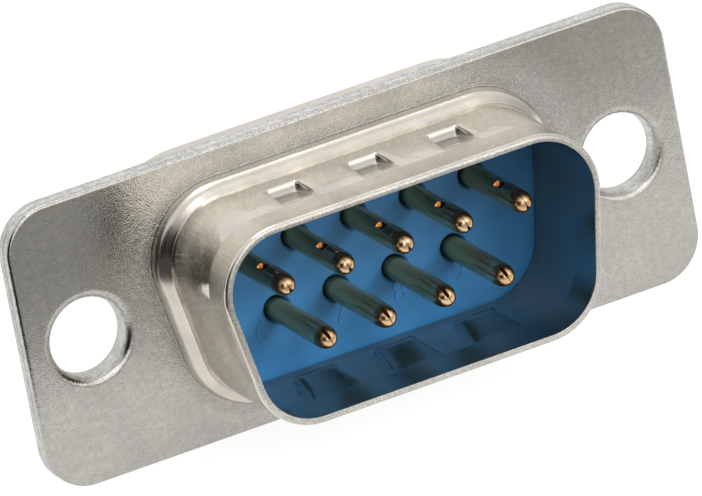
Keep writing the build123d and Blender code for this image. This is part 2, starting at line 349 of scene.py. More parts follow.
class StageSettings(bpy.types.PropertyGroup):
    """The camera, floor and light."""

    azimuth: angle("Azimuth", "The camera's turn from straight in front", -22.51)
    elevation: angle("Elevation", "The camera's height", 20.717)
    roll: angle("Roll", "The camera's tilt about its own axis", -10.845)
    distance: length("Distance", "The camera's distance", 555.39)
    focal_pixels: amount("Focal length", "Focal length in pixels of the image", 13380.5, 50000.0)
    aim: bpy.props.FloatVectorProperty(
        name="Aim",
        description="The point in the middle of the image",
        default=(mm(-0.281), mm(0.099), mm(-0.041)),
        size=3,
        precision=5,
        unit="LENGTH",
    )
    floor_colour: colour("Floor colour", "Colour of the floor", (0.15, 0.15, 0.15))
    floor_glow: amount("Floor glow", "White that the floor shows to the camera and in the metal", 0.90)
    floor_mirrored: amount("Floor mirrored", "Share of the floor's glow that the metal mirrors", 0.85)
    back_light: amount("Back light", "Strength of the soft light from behind and above", 0.90, 4.0)
    panel_light: amount("Panel light", "Strength of the soft panel in front", 1.55, 4.0)
    panel_width: angle("Panel width", "Half the width of the panel in front", 38.0)
    panel_azimuth: angle("Panel azimuth", "The panel's turn from straight in front", 14.0)
    panel_elevation: angle("Panel elevation", "The panel's height", 12.0)
    core_light: amount("Core light", "Strength of the panel's bright part", 2.3, 4.0)
    core_width: angle("Core width", "Half the width of the panel's bright part", 15.0)
    core_azimuth: angle("Core azimuth", "The bright part's turn from straight in front", -3.0)
    core_elevation: angle("Core elevation", "The bright part's height", 36.0)
    front_light: amount("Front light", "Strength of the soft light from in front", 0.25, 4.0)
    dark_side: amount("Dark side", "Strength of the light from the dark side of the room", 0.03, 4.0)
    dark_width: angle("Dark width", "Half the width of the dark side of the room", 33.0)
    dark_azimuth: angle("Dark azimuth", "The dark side's turn from straight in front", -62.0)
    dark_elevation: angle("Dark elevation", "The dark side's height", 2.0)
    card_colour: colour("Card colour", "Colour of the card in the metal's reflections", (0.25, 0.25, 0.24))
    card_reach: length("Card reach", "Distance from the plug to the card in front of it", 15.6)
    card_depth: length("Card depth", "Depth of the card", 45.0)
    card_azimuth: angle("Card azimuth", "The card's turn from straight in front", -10.0)
    key_power: amount("Key power", "Power of the soft light into the shroud in watts", 1.55, 10.0)
    top_power: amount("Top power", "Power of the soft light above in watts", 0.45, 10.0)


def arc(centre, radius, start, end, steps=BEND_STEPS):
    """Points round a bend in a plane, from one angle in degrees to another."""
    points = []
    for step in range(steps + 1):
        turn = math.radians(start + (end - start) * step / steps)
        points.append((centre[0] + radius * math.cos(turn), centre[1] + radius * math.sin(turn)))
    return points


def rounded(corners):
    """A section from corner points, each with the radius of its bend, without the two end points."""
    points = []
    for before, (x, level, radius), after in zip(corners, corners[1:], corners[2:]):
        here = Vector((x, level))
        back = (Vector(before[:2]) - here).normalized()
        on = (Vector(after[:2]) - here).normalized()
        half = back.angle(on) / 2
        middle = here + (back + on).normalized() * radius / math.sin(half)
        start = here + back * radius / math.tan(half) - middle
        end = here + on * radius / math.tan(half) - middle
        for step in range(BEND_STEPS + 1):
            points.append(tuple(middle + start.slerp(end, step / BEND_STEPS).normalized() * radius))
    return points


def supported(section):
    """The section with an extra point near both ends of each long run, which keeps flats flat."""
    points = [section[0]]
    for start, end in zip(section, section[1:]):
        start, end = Vector(start), Vector(end)
        run = end - start
        if run.length > LONG_RUN:
            points.append(tuple(start + run.normalized() * SUPPORT))
            points.append(tuple(end - run.normalized() * SUPPORT))
        points.append(tuple(end))
    return points


def eased(share):
    """A share from 0 to 1 that starts and ends gently."""
    share = min(max(share, 0.0), 1.0)
    return share * share * (3 - 2 * share)


class KeyedOutline:
    """The D outline inside the rim. Every outline of the plug is an even offset of it, its grow."""

    def __init__(self, shell):
        self.shell = shell
        self.radius = shell.corner_radius
        self.half_height = shell.shroud_height / 2
        self.waist_level = RIM_LEVEL - shell.rim_band
        self.waist_grow = -shell.rim_flare
        self.root_grow = self.waist_grow + shell.wall_draft
        self.root_level = shell.step_rise + shell.step_slope
        self.step_grow = self.root_grow + shell.wall + shell.step_ledge
        self.step_cavity_grow = self.step_grow - SHEET
        self.rear_grow = self.step_grow + shell.rear_ledge
        self.rear_cavity_grow = self.rear_grow - SHEET
        self.rear_mouth_grow = self.rear_cavity_grow - shell.rear_lip
        self.dimple_front_level = self.waist_level - shell.dimple_setback
        self.dimple_back_level = self.dimple_front_level - shell.dimple_length

    def wall_grow(self, level):
        """How far the inside of the wall stands out from the rim outline at a level."""
        if level > self.waist_level:
            return self.waist_grow * (RIM_LEVEL - level) / self.shell.rim_band
        share = (level - self.root_level) / (self.waist_level - self.root_level)
        return self.root_grow + (self.waist_grow - self.root_grow) * share

    def dimple_stops(self, level, spread, reach):
        """Places along a straight wall, each with its share of the dimples' depth, in columns along them."""
        shell = self.shell
        share = (level - self.dimple_back_level) / shell.dimple_length
        share = min(max(share, 0.0), 1.0)
        half = (shell.dimple_back + (shell.dimple_front - shell.dimple_back) * share) / 2 + spread
        stops = [(-reach, 0.0)]
        for index in (-1, 0, 1):
            centre = index * shell.dimple_pitch
            stops.append((centre - half - shell.dimple_round, 0.0))
            stops.append((centre - half + shell.dimple_round, 1.0))
            stops.append((centre + half - shell.dimple_round, 1.0))
            stops.append((centre + half + shell.dimple_round, 0.0))
        stops.append((reach, 0.0))
        places = []
        for (start, low), (end, high) in zip(stops, stops[1:]):
            for step in range(STRETCH_STEPS):
                part = step / STRETCH_STEPS
                places.append((start + (end - start) * part, low + (high - low) * eased(part)))
        return places[1:]

    def dimple_press(self, level, spread):
        """The dimples' depth at a level: a ramp that deepens backwards and ends in a steep back face."""
        back = self.dimple_back_level - spread
        width = 2 * self.shell.dimple_round
        if level >= self.dimple_front_level:
            return 0.0
        if level >= back:
            ramp = (self.dimple_front_level - level) / (self.dimple_front_level - back)
            return self.shell.dimple_depth * ramp
        return self.shell.dimple_depth * eased((level - back + width) / width)

    def dimple_levels(self, spread):
        """Levels of the rows that the dimples need, from the back to the front."""
        back = self.dimple_back_level - spread
        width = 2 * self.shell.dimple_round
        ramp = self.dimple_front_level - back
        rise = [back - width - SUPPORT]
        rise += [back - width + width * step / BEND_STEPS for step in range(BEND_STEPS + 1)]
        slope = [back + ramp * step / STRETCH_STEPS for step in range(1, STRETCH_STEPS + 1)]
        return rise + slope

    def loop(self, grow, level, spread=0.0, pressed=False):
        """One closed row of points round the outline."""
        slope = math.degrees(self.shell.side_slope)
        rise = self.half_height - self.radius
        top = self.shell.shroud_width / 2 - self.radius
        bottom = top - 2 * rise * math.tan(self.shell.side_slope)
        radius = self.radius + grow
        height = self.half_height + grow
        press = self.dimple_press(level, spread) if pressed else 0.0
        points = [(x, height - press * share) for x, share in self.dimple_stops(level, spread, top)]
        points += arc((top, rise), radius, 90, -slope, CORNER_STEPS)
        points += arc((bottom, -rise), radius, -slope, -90, CORNER_STEPS)
        points += [(-x, press * share - height) for x, share in self.dimple_stops(level, spread, bottom)]
        points += arc((-bottom, -rise), radius, 270, 180 + slope, CORNER_STEPS)
        points += arc((-top, rise), radius, 180 + slope, 90, CORNER_STEPS)
        return [(x, -level, z) for x, z in points]


def hole_places():
    """Where the two screw holes are across the flange."""
    return [-HOLE_SPACING / 2, HOLE_SPACING / 2]


def contact_places():
    """Every contact's place, in the order of the numbers."""
    places = [((index - (WIDE_ROW - 1) / 2) * PITCH, ROW_SPACING / 2) for index in range(WIDE_ROW)]
    places += [((index - (NARROW_ROW - 1) / 2) * PITCH, -ROW_SPACING / 2) for index in range(NARROW_ROW)]
    return places


def round_loop(x, z, radius, level):
    """One closed row of points round an axis along the mating direction."""
    return [(px, -level, pz) for px, pz in arc((x, z), radius, 0, 360, HOLE_STEPS)[:-1]]


def flange_loop(corner, inset, level):
    """One closed row of points round the flange."""
    x = FLANGE_LENGTH / 2 - corner
    z = FLANGE_HEIGHT / 2 - corner
    radius = corner - inset
    points = []
    for index, (side, up) in enumerate(((1, 1), (-1, 1), (-1, -1), (1, -1))):
        points += arc((side * x, up * z), radius, 90 * index, 90 * index + 90, CORNER_STEPS)
    return [(px, -level, pz) for px, pz in points]


def bridge(bm, loops, marked=None, mark=None):
    """Skins closed rows of points and returns the end rows of vertices. Marked rows get 1 in the layer."""
    rows = [[bm.verts.new(point) for point in loop] for loop in loops]
    if mark:
        for row in rows[marked]:
            for vertex in row:
                vertex[mark] = 1.0
    for row, following in zip(rows, rows[1:]):
        for index, vertex in enumerate(row):
            bm.faces.new((row[index - 1], vertex, following[index], following[index - 1]))
    return rows[0], rows[-1]


def skin(bm, loop, section):
    """Skins one closed wall, with a row of points from the loop for each size and level of a section."""
    return bridge(bm, [loop(size, level) for size, level in supported(section)])


def fill(bm, rows):
    """Closes a flat face between rows of vertices."""
    edges = []
    for row in rows:
        for index, vertex in enumerate(row):
            edges.append(bm.edges.get((row[index - 1], vertex)))
    bmesh.ops.triangle_fill(bm, use_beauty=True, edges=edges)


def cap(bm, walls):
    """Closes the flat faces between the walls' first rows and between their last rows."""
    for rows in zip(*walls):
        fill(bm, rows)


def finish_mesh(bm, name, sharp=None):
    """Makes a smooth mesh from the work so far, with its faces pointing outwards."""
    bmesh.ops.remove_doubles(bm, verts=bm.verts, dist=MERGE)
    bmesh.ops.dissolve_degenerate(bm, edges=bm.edges, dist=SLIVER)
    bmesh.ops.recalc_face_normals(bm, faces=bm.faces)
    mesh = bpy.data.meshes.new(name)
    bm.to_mesh(mesh)
    bm.free()
    mesh.shade_smooth()
    if sharp:
        mesh.set_sharp_from_angle(angle=math.radians(sharp))
    return mesh


def place(mesh, name, material, nodes=()):
    """Puts a finished mesh in the scene, on the body and in place of the frame's own nodes."""
    piece = bpy.data.objects.new(name, mesh)
    bpy.context.scene.collection.objects.link(piece)
    mesh.materials.clear()
    mesh.materials.append(material)
    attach(piece, "root")
    if nodes:
        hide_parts(*nodes)
    return piece


def collar_section(shell):
    """Radius and level round a drawn collar, from the flange's front face round its bore to its outside."""
    lip = shell.hole_lip
    bevel = shell.swage_bevel
    edge = shell.sheet_edge
    outer = HOLE_R + shell.collar_wall
    swage = outer + shell.swage_reach
    section = [(HOLE_R + lip + SUPPORT, 0.0)]
    section += arc((HOLE_R + lip, -lip), lip, 90, 180)
    section += arc((HOLE_R + bevel, bevel - SWAGE_BACK), bevel, 180, 270)
    section += arc((swage - edge, edge - SWAGE_BACK), edge, 270, 360)
    section += [(swage, -FLANGE_BACK), (outer, -FLANGE_BACK), (outer, -SHEET), (outer + SUPPORT, -SHEET)]
    return section


def border_section(front_edge, back_edge, front, back):
    """Inset and level round a flange's cut edge, from its front face to its back face."""
    section = [(front_edge + SUPPORT, front)]
    section += arc((front_edge, front - front_edge), front_edge, 90, 180)
    section += arc((back_edge, back + back_edge), back_edge, 180, 270)
    section += [(back_edge + SUPPORT, back)]
    return section


def front_shell_mesh(shell):
    """Flange, step and shroud of the front sheet, with dimples pressed through its walls."""
    outline = KeyedOutline(shell)
    wall = shell.wall
    edge, rolled = shell.rim_edge, shell.rim_round
    foot, inner = shell.foot_radius, shell.inner_root_radius
    step = outline.step_grow
    outside = outline.root_grow + wall

    start = (step + foot + SUPPORT, 0.0)
    corners = [
        (*start, 0.0),
        (step, 0.0, foot),
        (step, shell.step_rise, shell.ridge_radius),
        (outside, outline.root_level, shell.root_radius),
        (outline.waist_grow + wall, outline.waist_level, 0.0),
    ]
    rows = [outline.loop(grow, level) for grow, level in supported([start] + rounded(corners))]

    crease = [outline.waist_level - SUPPORT, outline.waist_level, outline.waist_level + SUPPORT]
    for level in outline.dimple_levels(0.0) + crease + [RIM_LEVEL - rolled - SUPPORT]:
        rows.append(outline.loop(outline.wall_grow(level) + wall, level, 0.0, True))
    rim = arc((wall - rolled, RIM_LEVEL - rolled), rolled, 0, 90)
    rim += arc((edge, RIM_LEVEL - edge), edge, 90, 180)
    rows += [outline.loop(grow, level, wall) for grow, level in supported(rim)]
    inside = slice(len(rows), None)
    for level in reversed(outline.dimple_levels(wall) + crease + [RIM_LEVEL - edge - SUPPORT]):
        rows.append(outline.loop(outline.wall_grow(level), level, wall, True))
    hollow = arc((outline.root_grow + inner, FACE_LEVEL + inner), inner, 180, 270)
    hollow += [(outline.step_cavity_grow, FACE_LEVEL), (outline.step_cavity_grow, -SHEET)]
    hollow += [(outline.step_cavity_grow + SUPPORT, -SHEET)]
    rows += [outline.loop(grow, level, wall) for grow, level in supported(hollow)]

    bm = bmesh.new()
    walls = [bridge(bm, rows, inside, bm.verts.layers.float.new("inner"))]
    walls += [skin(bm, partial(round_loop, x, 0.0), collar_section(shell)) for x in hole_places()]
    border = border_section(shell.flange_edge, shell.sheet_edge, 0.0, -SHEET)
    walls.append(skin(bm, partial(flange_loop, shell.flange_corner), border))
    cap(bm, walls)
    return finish_mesh(bm, "front_sheet")


def rear_shell_mesh(shell):
    """Flange and box of the rear sheet, turned in at the back."""
    outline = KeyedOutline(shell)
    grow = outline.rear_grow
    foot, bend, edge = shell.rear_foot, shell.rear_edge, shell.sheet_edge
    lip_face = SHEET - REAR_DEPTH
    mouth, cavity = outline.rear_mouth_grow, outline.rear_cavity_grow
    section = [(grow + foot + SUPPORT, -FLANGE_BACK)]
    section += arc((grow + foot, -FLANGE_BACK - foot), foot, 90, 180)
    section += arc((grow - bend, bend - REAR_DEPTH), bend, 360, 270)
    section += arc((mouth + edge, edge - REAR_DEPTH), edge, 270, 180)
    section += [(mouth, lip_face), (cavity, lip_face), (cavity, -SHEET), (cavity + SUPPORT, -SHEET)]
    clear = HOLE_R + shell.collar_wall + shell.collar_fit
    hole = [(clear + SUPPORT, -SHEET), (clear, -SHEET)]
    hole += [(clear, -FLANGE_BACK), (clear + SUPPORT, -FLANGE_BACK)]
    border = border_section(edge, edge, -SHEET, -FLANGE_BACK)
    bm = bmesh.new()
    walls = [reversed(skin(bm, outline.loop, section))]
    walls += [skin(bm, partial(round_loop, x, 0.0), hole) for x in hole_places()]
    walls.append(skin(bm, partial(flange_loop, shell.flange_corner), border))
    cap(bm, walls)
    return finish_mesh(bm, "rear_sheet")


def bored_mesh(name, outline, section, hole):
    """A block with the outline's section and the same hole for each contact."""
    bm = bmesh.new()
    walls = [skin(bm, outline.loop, section)]
    walls += [skin(bm, partial(round_loop, x, z), hole) for x, z in contact_places()]
    cap(bm, walls)
    return finish_mesh(bm, name)


def front_moulding_mesh(shell, moulding, contact):
    """The moulding behind the mating face, with a countersunk hole for each pin and a seat behind it."""
    outline = KeyedOutline(shell)
    edge = moulding.edge
    small = outline.step_cavity_grow - moulding.fit
    large = outline.rear_cavity_grow - moulding.fit
    section = [(small - edge - SUPPORT, FACE_LEVEL)]
    section += arc((small - edge, FACE_LEVEL - edge), edge, 90, 0)
    section += [(small, -SHEET)]
    section += arc((large - edge, -SHEET - edge), edge, 90, 0)
    section += arc((large - edge, edge - SPLIT_DEPTH), edge, 0, -90)
    section += [(large - edge - SUPPORT, -SPLIT_DEPTH)]
    bore = contact.pin_radius + moulding.contact_fit
    seat = BEAD_R + moulding.contact_fit
    hole = [(moulding.entry_radius + edge + SUPPORT, FACE_LEVEL)]
    hole += [(moulding.entry_radius + edge, FACE_LEVEL), (moulding.entry_radius, FACE_LEVEL - edge / 2)]
    hole += [(bore, FACE_LEVEL - moulding.entry_depth), (bore, -contact.seat_depth)]
    hole += [(seat, -contact.seat_depth), (seat, -SPLIT_DEPTH), (seat + SUPPORT, -SPLIT_DEPTH)]
    return bored_mesh("front_moulding", outline, section, hole)


def rear_moulding_mesh(shell, moulding, contact):
    """The moulding in the rear shell, with a bore for each barrel."""
    outline = KeyedOutline(shell)
    edge, rear = moulding.edge, moulding.rear_edge
    shoulder = SHEET - REAR_DEPTH
    large = outline.rear_cavity_grow - moulding.fit
    small = outline.rear_mouth_grow - moulding.fit
    section = [(large - edge - SUPPORT, -SPLIT_DEPTH)]
    section += arc((large - edge, -SPLIT_DEPTH - edge), edge, 90, 0)
    section += arc((large - edge, shoulder + edge), edge, 0, -90)
    section += [(small, shoulder)]
    section += arc((small - rear, rear - REAR_FACE_DEPTH), rear, 0, -90)
    section += [(small - rear - SUPPORT, -REAR_FACE_DEPTH)]
    bore = contact.barrel_radius + moulding.contact_fit
    hole = [(bore + SUPPORT, -SPLIT_DEPTH), (bore, -SPLIT_DEPTH), (bore, edge / 2 - REAR_FACE_DEPTH)]
    hole += [(bore + edge / 2, -REAR_FACE_DEPTH), (bore + edge / 2 + SUPPORT, -REAR_FACE_DEPTH)]
    return bored_mesh("rear_moulding", outline, section, hole)


def number_mesh(moulding):
    """Raised contact numbers on the mating face, below the narrow row and above the wide one."""
    bm = bmesh.new()
    for index, (x, z) in enumerate(contact_places()):
        text = bpy.data.curves.new("number", "FONT")
        text.body = str(index + 1)
        text.align_x = "CENTER"
        text.align_y = "CENTER"
        text.size = moulding.number_height * FIGURE_SCALE
        text.extrude = moulding.number_rise
        text.offset = -FIGURE_THINNING * moulding.number_height
        text.resolution_u = FIGURE_STEPS
        holder = bpy.data.objects.new("number", text)
        bpy.context.scene.collection.objects.link(holder)
        depsgraph = bpy.context.evaluated_depsgraph_get()
        mesh = bpy.data.meshes.new_from_object(holder.evaluated_get(depsgraph))
        lift = moulding.number_drop if index < WIDE_ROW else -moulding.number_drop
        if index == WIDE_ROW:
            x, lift = x - moulding.corner_number, CORNER_LIFT * lift
        spot = Matrix.Translation((x, -FACE_LEVEL, z + lift))
        mesh.transform(spot @ Matrix.Rotation(math.radians(90), 4, "X"))
        bm.from_mesh(mesh)
        bpy.data.objects.remove(holder)
        bpy.data.curves.remove(text)
        bpy.data.meshes.remove(mesh)
    return finish_mesh(bm, "numbers", FIGURE_SHARP)


def gap_angle(width, radius):
    """Half the angle that a gap of that width takes out of a round wall."""
    return math.asin(min(width / 2 / radius, WIDEST_GAP))


def cut_angle(height, radius):
    """The angle from the top to where a level cut meets a round wall."""
    return math.acos(min(max(height / radius, -1.0), 1.0))


def contact_rows(contact):
    """Rows along one contact: depth, outer and inner radius, and half gaps above and below, out and in."""
    rows = []
    core = contact.nose_slit
    for step in range(NOSE_STEPS + 1):
        turn = math.pi / 2 * step / NOSE_STEPS
        behind = contact.nose_length * (1 - math.cos(turn))
        radius = contact.nose_flat + (contact.pin_radius - contact.nose_flat) * math.sin(turn)
        open_share = 1 - eased((behind / contact.nose_slit_depth - NOTCH_EVEN) / (1 - NOTCH_EVEN))
        notch = contact.seam + (contact.nose_gap - contact.seam) * open_share
        slit = contact.nose_slit * min(1.0, SLIT_FADE * open_share)
        above = (gap_angle(slit, radius), gap_angle(slit, core))
        below = (gap_angle(notch, radius), gap_angle(contact.nose_slit, core))
        rows.append((behind - TIP_LEVEL, radius, core, *above, *below))

    def plain(depth, outer, inner, gap, inner_gap=None):
        hollow = gap if inner_gap is None else inner_gap
        rows.append((depth, outer, inner, gap_angle(gap, outer), gap_angle(hollow, inner), 0.0, 0.0))

    pin, bore, seam = contact.pin_radius, contact.bore_radius, contact.seam
    plain(contact.nose_length - TIP_LEVEL, pin, bore, seam)
    window = contact.window_setback - TIP_LEVEL
    half = contact.window_length / 2
    wide, slant = contact.window_width, contact.window_slant
    plain(window - half - slant, pin, bore, seam)
    plain(window - half, pin, bore, wide, seam)
    plain(window - half, pin, bore, wide)
    plain(window + half, pin, bore, wide)
    plain(window + half, pin, bore, wide, seam)
    plain(window + half + slant, pin, bore, seam)
    seat = contact.seat_depth
    barrel = contact.barrel_radius
    floor = REAR_FACE_DEPTH + contact.cup_floor
    plain(seat, pin, bore, seam)
    plain(seat, BEAD_R - SUPPORT, bore, seam)
    plain(seat + SUPPORT, BEAD_R, bore, seam)
    plain(SPLIT_DEPTH - SUPPORT, BEAD_R, bore, seam)
    plain(SPLIT_DEPTH, BEAD_R - SUPPORT, bore, seam)
    plain(SPLIT_DEPTH, barrel, bore, seam)
    plain(floor, barrel, bore, seam)
    plain(floor, barrel, contact.cup_bore, seam)
    plain(floor + SUPPORT, barrel, contact.cup_bore, 0.0)
    start = REAR_FACE_DEPTH + contact.scoop_start
    for step in range(SCOOP_STEPS + 1):
        share = step / SCOOP_STEPS
        height = barrel + (contact.scoop_height - barrel) * share
        above = (cut_angle(height, barrel), cut_angle(height, contact.cup_bore))
        rows.append((start + contact.scoop_ramp * share, barrel, contact.cup_bore, *above, 0.0, 0.0))
    rows.append((CUP_BACK - SUPPORT, barrel, contact.cup_bore, *above, 0.0, 0.0))
    rows.append((CUP_BACK, barrel - SUPPORT, contact.cup_bore + SUPPORT, *above, 0.0, 0.0))
    return rows


def contact_mesh(contact):
    """One rolled contact on the axis: two mirrored halves that meet where nothing is cut away."""
    bm = bmesh.new()
    straight = contact.seat_depth
    rolled = contact.window_setback + contact.window_length - TIP_LEVEL
    for side in (1, -1):
        walls = []
        for depth, outer, inner, above_out, above_in, below_out, below_in in contact_rows(contact):
            pair = []
            roll = contact.roll * eased((straight - depth) / (straight - rolled))
            spin = Matrix.Rotation(-roll, 3, "Y")
            for radius, above, below in ((outer, above_out, below_out), (inner, above_in, below_in)):
                strip = []
                for column in range(PIN_COLUMNS + 1):
                    turn = above + (math.pi - below - above) * column / PIN_COLUMNS
                    point = Vector((side * radius * math.sin(turn), depth, radius * math.cos(turn)))
                    strip.append(bm.verts.new(spin @ point))
                pair.append(strip)
            walls.append((pair, above_out + above_in > 0, below_out + below_in > 0))
        for (row, open_top, open_low), (following, next_top, next_low) in zip(walls, walls[1:]):
            for strip, other in zip(row, following):
                for a, b, c, d in zip(strip, strip[1:], other[1:], other):
                    bm.faces.new((a, b, c, d))
            if open_top or next_top:
                bm.faces.new((row[0][0], row[1][0], following[1][0], following[0][0]))
            if open_low or next_low:
                bm.faces.new((row[0][-1], row[1][-1], following[1][-1], following[0][-1]))
        for pair, _, _ in (walls[0], walls[-1]):
            for a, b, c, d in zip(pair[0], pair[0][1:], pair[1][1:], pair[1]):
                bm.faces.new((a, b, c, d))
    return finish_mesh(bm, "contact", CONTACT_SHARP)


def math_node(tree, operation, *values):
    """Adds a Math node to a node tree, with its inputs linked or set."""
    node = tree.nodes.new("ShaderNodeMath")
    node.operation = operation
    for socket, value in zip(node.inputs, values):
        if isinstance(value, (int, float)):
            socket.default_value = value
        else:
            tree.links.new(value, socket)
    return node.outputs[0]


def range_node(tree, value, low, high, to_low=0.0, to_high=1.0, kind="LINEAR"):
    """Adds a Map Range node to a node tree."""
    node = tree.nodes.new("ShaderNodeMapRange")
    node.interpolation_type = kind
    limits = {"From Min": low, "From Max": high, "To Min": to_low, "To Max": to_high}
    for socket, number in limits.items():
        node.inputs[socket].default_value = number
    tree.links.new(value, node.inputs["Value"])
    return node.outputs[0]


def contact_rows_tree():
    """A Geometry Nodes tree that sets contacts out in a wide row and, turned over, a narrow row below."""
    tree = bpy.data.node_groups.new("Contact rows", "GeometryNodeTree")
    sockets = {}
    for name, kind in (
        ("Contact", "NodeSocketObject"),
        ("Pitch", "NodeSocketFloat"),
        ("Row spacing", "NodeSocketFloat"),
        ("Wide row", "NodeSocketInt"),
        ("Material", "NodeSocketMaterial"),
    ):
        sockets[name] = tree.interface.new_socket(name, in_out="INPUT", socket_type=kind)
    tree.interface.new_socket("Geometry", in_out="OUTPUT", socket_type="NodeSocketGeometry")
    nodes, link = tree.nodes, tree.links.new
    given = nodes.new("NodeGroupInput")
    info = nodes.new("GeometryNodeObjectInfo")
    link(given.outputs["Contact"], info.inputs["Object"])
    join = nodes.new("GeometryNodeJoinGeometry")
    for fewer, up, turn in ((0, 0.5, 0.0), (1, -0.5, math.pi)):
        count = math_node(tree, "SUBTRACT", given.outputs["Wide row"], fewer)
        gaps = math_node(tree, "SUBTRACT", count, 1)
        reach = math_node(tree, "MULTIPLY", gaps, given.outputs["Pitch"])
        start = nodes.new("ShaderNodeCombineXYZ")
        link(math_node(tree, "MULTIPLY", reach, -0.5), start.inputs["X"])
        link(math_node(tree, "MULTIPLY", given.outputs["Row spacing"], up), start.inputs["Z"])
        offset = nodes.new("ShaderNodeCombineXYZ")
        link(given.outputs["Pitch"], offset.inputs["X"])
        line = nodes.new("GeometryNodeMeshLine")
        link(count, line.inputs["Count"])
        link(start.outputs[0], line.inputs["Start Location"])
        link(offset.outputs[0], line.inputs["Offset"])
        put = nodes.new("GeometryNodeInstanceOnPoints")
        link(line.outputs["Mesh"], put.inputs["Points"])
        link(info.outputs["Geometry"], put.inputs["Instance"])
        put.inputs["Rotation"].default_value = (0.0, turn, 0.0)
        link(put.outputs["Instances"], join.inputs["Geometry"])
    solid = nodes.new("GeometryNodeRealizeInstances")
    finish = nodes.new("GeometryNodeSetMaterial")
    result = nodes.new("NodeGroupOutput")
    link(join.outputs[0], solid.inputs[0])
    link(solid.outputs[0], finish.inputs["Geometry"])
    link(given.outputs["Material"], finish.inputs["Material"])
    link(finish.outputs[0], result.inputs["Geometry"])
    return tree, {name: socket.identifier for name, socket in sockets.items()}


def grain_group():
    """A shader group for fine grain: its height, a speckle mask and a slow drift over the surface."""
    found = bpy.data.node_groups.get("Surface grain")
    if found:
        return found
    group = bpy.data.node_groups.new("Surface grain", "ShaderNodeTree")
    group.interface.new_socket("Vector", in_out="INPUT", socket_type="NodeSocketVector")
    group.interface.new_socket("Grain size", in_out="INPUT", socket_type="NodeSocketFloat")
    group.interface.new_socket("Drift size", in_out="INPUT", socket_type="NodeSocketFloat")
    for name in ("Height", "Speckle", "Drift"):
        group.interface.new_socket(name, in_out="OUTPUT", socket_type="NodeSocketFloat")
    nodes, link = group.nodes, group.links.new
    given = nodes.new("NodeGroupInput")
    result = nodes.new("NodeGroupOutput")

    def noise(size, detail, roughness):
        texture = nodes.new("ShaderNodeTexNoise")
        texture.inputs["Detail"].default_value = detail
        texture.inputs["Roughness"].default_value = roughness
        link(given.outputs["Vector"], texture.inputs["Vector"])
        link(math_node(group, "DIVIDE", 1.0, size), texture.inputs["Scale"])
        return texture.outputs[0]

    height = noise(given.outputs["Grain size"], *GRAIN_DETAIL)
    drift = noise(given.outputs["Drift size"], *DRIFT_DETAIL)
    link(height, result.inputs["Height"])
    link(range_node(group, height, *SPECKLE_NOISE), result.inputs["Speckle"])
    link(drift, result.inputs["Drift"])
    return group


class MaterialBench:
    """A new material with its Principled shader, object coordinates and a few short ways to add nodes."""

    def __init__(self, name):
        self.material = bpy.data.materials.new(name)
        self.material.use_nodes = True
        self.tree = self.material.node_tree
        self.nodes = self.tree.nodes
        self.link = self.tree.links.new
        self.shader = self.nodes["Principled BSDF"]
        self.coordinates = self.nodes.new("ShaderNodeTexCoord").outputs["Object"]

    def give(self, socket, value):
        """Links a value to one of the shader's inputs, or sets it there."""
        if isinstance(value, bpy.types.NodeSocket):
            self.link(value, self.shader.inputs[socket])
        else:
            self.shader.inputs[socket].default_value = value

    def grain(self, size, drift_size):
        """The grain group's outputs for those sizes."""
        node = self.nodes.new("ShaderNodeGroup")
        node.node_tree = grain_group()
        node.inputs["Grain size"].default_value = size
        node.inputs["Drift size"].default_value = drift_size
        self.link(self.coordinates, node.inputs["Vector"])
        return node.outputs

    def axis(self, name):
        """One of the object coordinates."""
        node = self.nodes.new("ShaderNodeSeparateXYZ")
        self.link(self.coordinates, node.inputs[0])
        return node.outputs[name]

    def attribute(self, name):
        """A value that the mesh carries."""
        node = self.nodes.new("ShaderNodeAttribute")
        node.attribute_name = name
        return node.outputs["Fac"]

    def math(self, operation, *values):
        """The result of a sum on one or two values."""
        return math_node(self.tree, operation, *values)

    def times(self, product, *values):
        """The product of several values."""
        for value in values:
            product = self.math("MULTIPLY", product, value)
        return product

    def ramp(self, value, low, high, to_low=0.0, to_high=1.0):
        """A value that runs evenly from one number to another while the given one runs from low to high."""
        return range_node(self.tree, value, low, high, to_low, to_high)

    def fade(self, mask, start, end):
        """A value that is start where the mask is 0 and end where it is 1."""
        return self.ramp(mask, 0.0, 1.0, start, end)

    def mix(self, share, first, second):
        """A colour between two."""
        node = self.nodes.new("ShaderNodeMix")
        node.data_type = "RGBA"
        self.link(share, node.inputs["Factor"])
        for socket, value in ((node.inputs[6], first), (node.inputs[7], second)):
            if isinstance(value, bpy.types.NodeSocket):
                self.link(value, socket)
            else:
                socket.default_value = (*value, 1.0)
        return node.outputs[2]

    def bump(self, height, distance):
        """Relief of a height in units of a distance."""
        node = self.nodes.new("ShaderNodeBump")
        node.inputs["Distance"].default_value = distance
        node.inputs["Strength"].default_value = 1.0
        self.link(height, node.inputs["Height"])
        self.give("Normal", node.outputs[0])

    def keyed_distance(self, shell):
        """Distance from the inside of the shroud at the rim, outwards."""
        rise = shell.shroud_height / 2 - shell.corner_radius
        top = shell.shroud_width / 2 - shell.corner_radius
        lean = math.tan(shell.side_slope)
        height = self.axis("Z")
        middle = self.ramp(height, -rise, rise, top - 2 * rise * lean, top)
        aside = self.math("SUBTRACT", self.math("ABSOLUTE", self.axis("X")), middle)
        above = self.math("SUBTRACT", self.math("ABSOLUTE", height), rise)
        squares = [self.math("POWER", self.math("MAXIMUM", part, 0.0), 2.0) for part in (aside, above)]
        return self.math("SUBTRACT", self.math("SQRT", self.math("ADD", *squares)), shell.corner_radius)


def shaded(colour, share):
    """A share of a colour, for a darker or lighter tone of it."""
    return [share * part for part in colour]


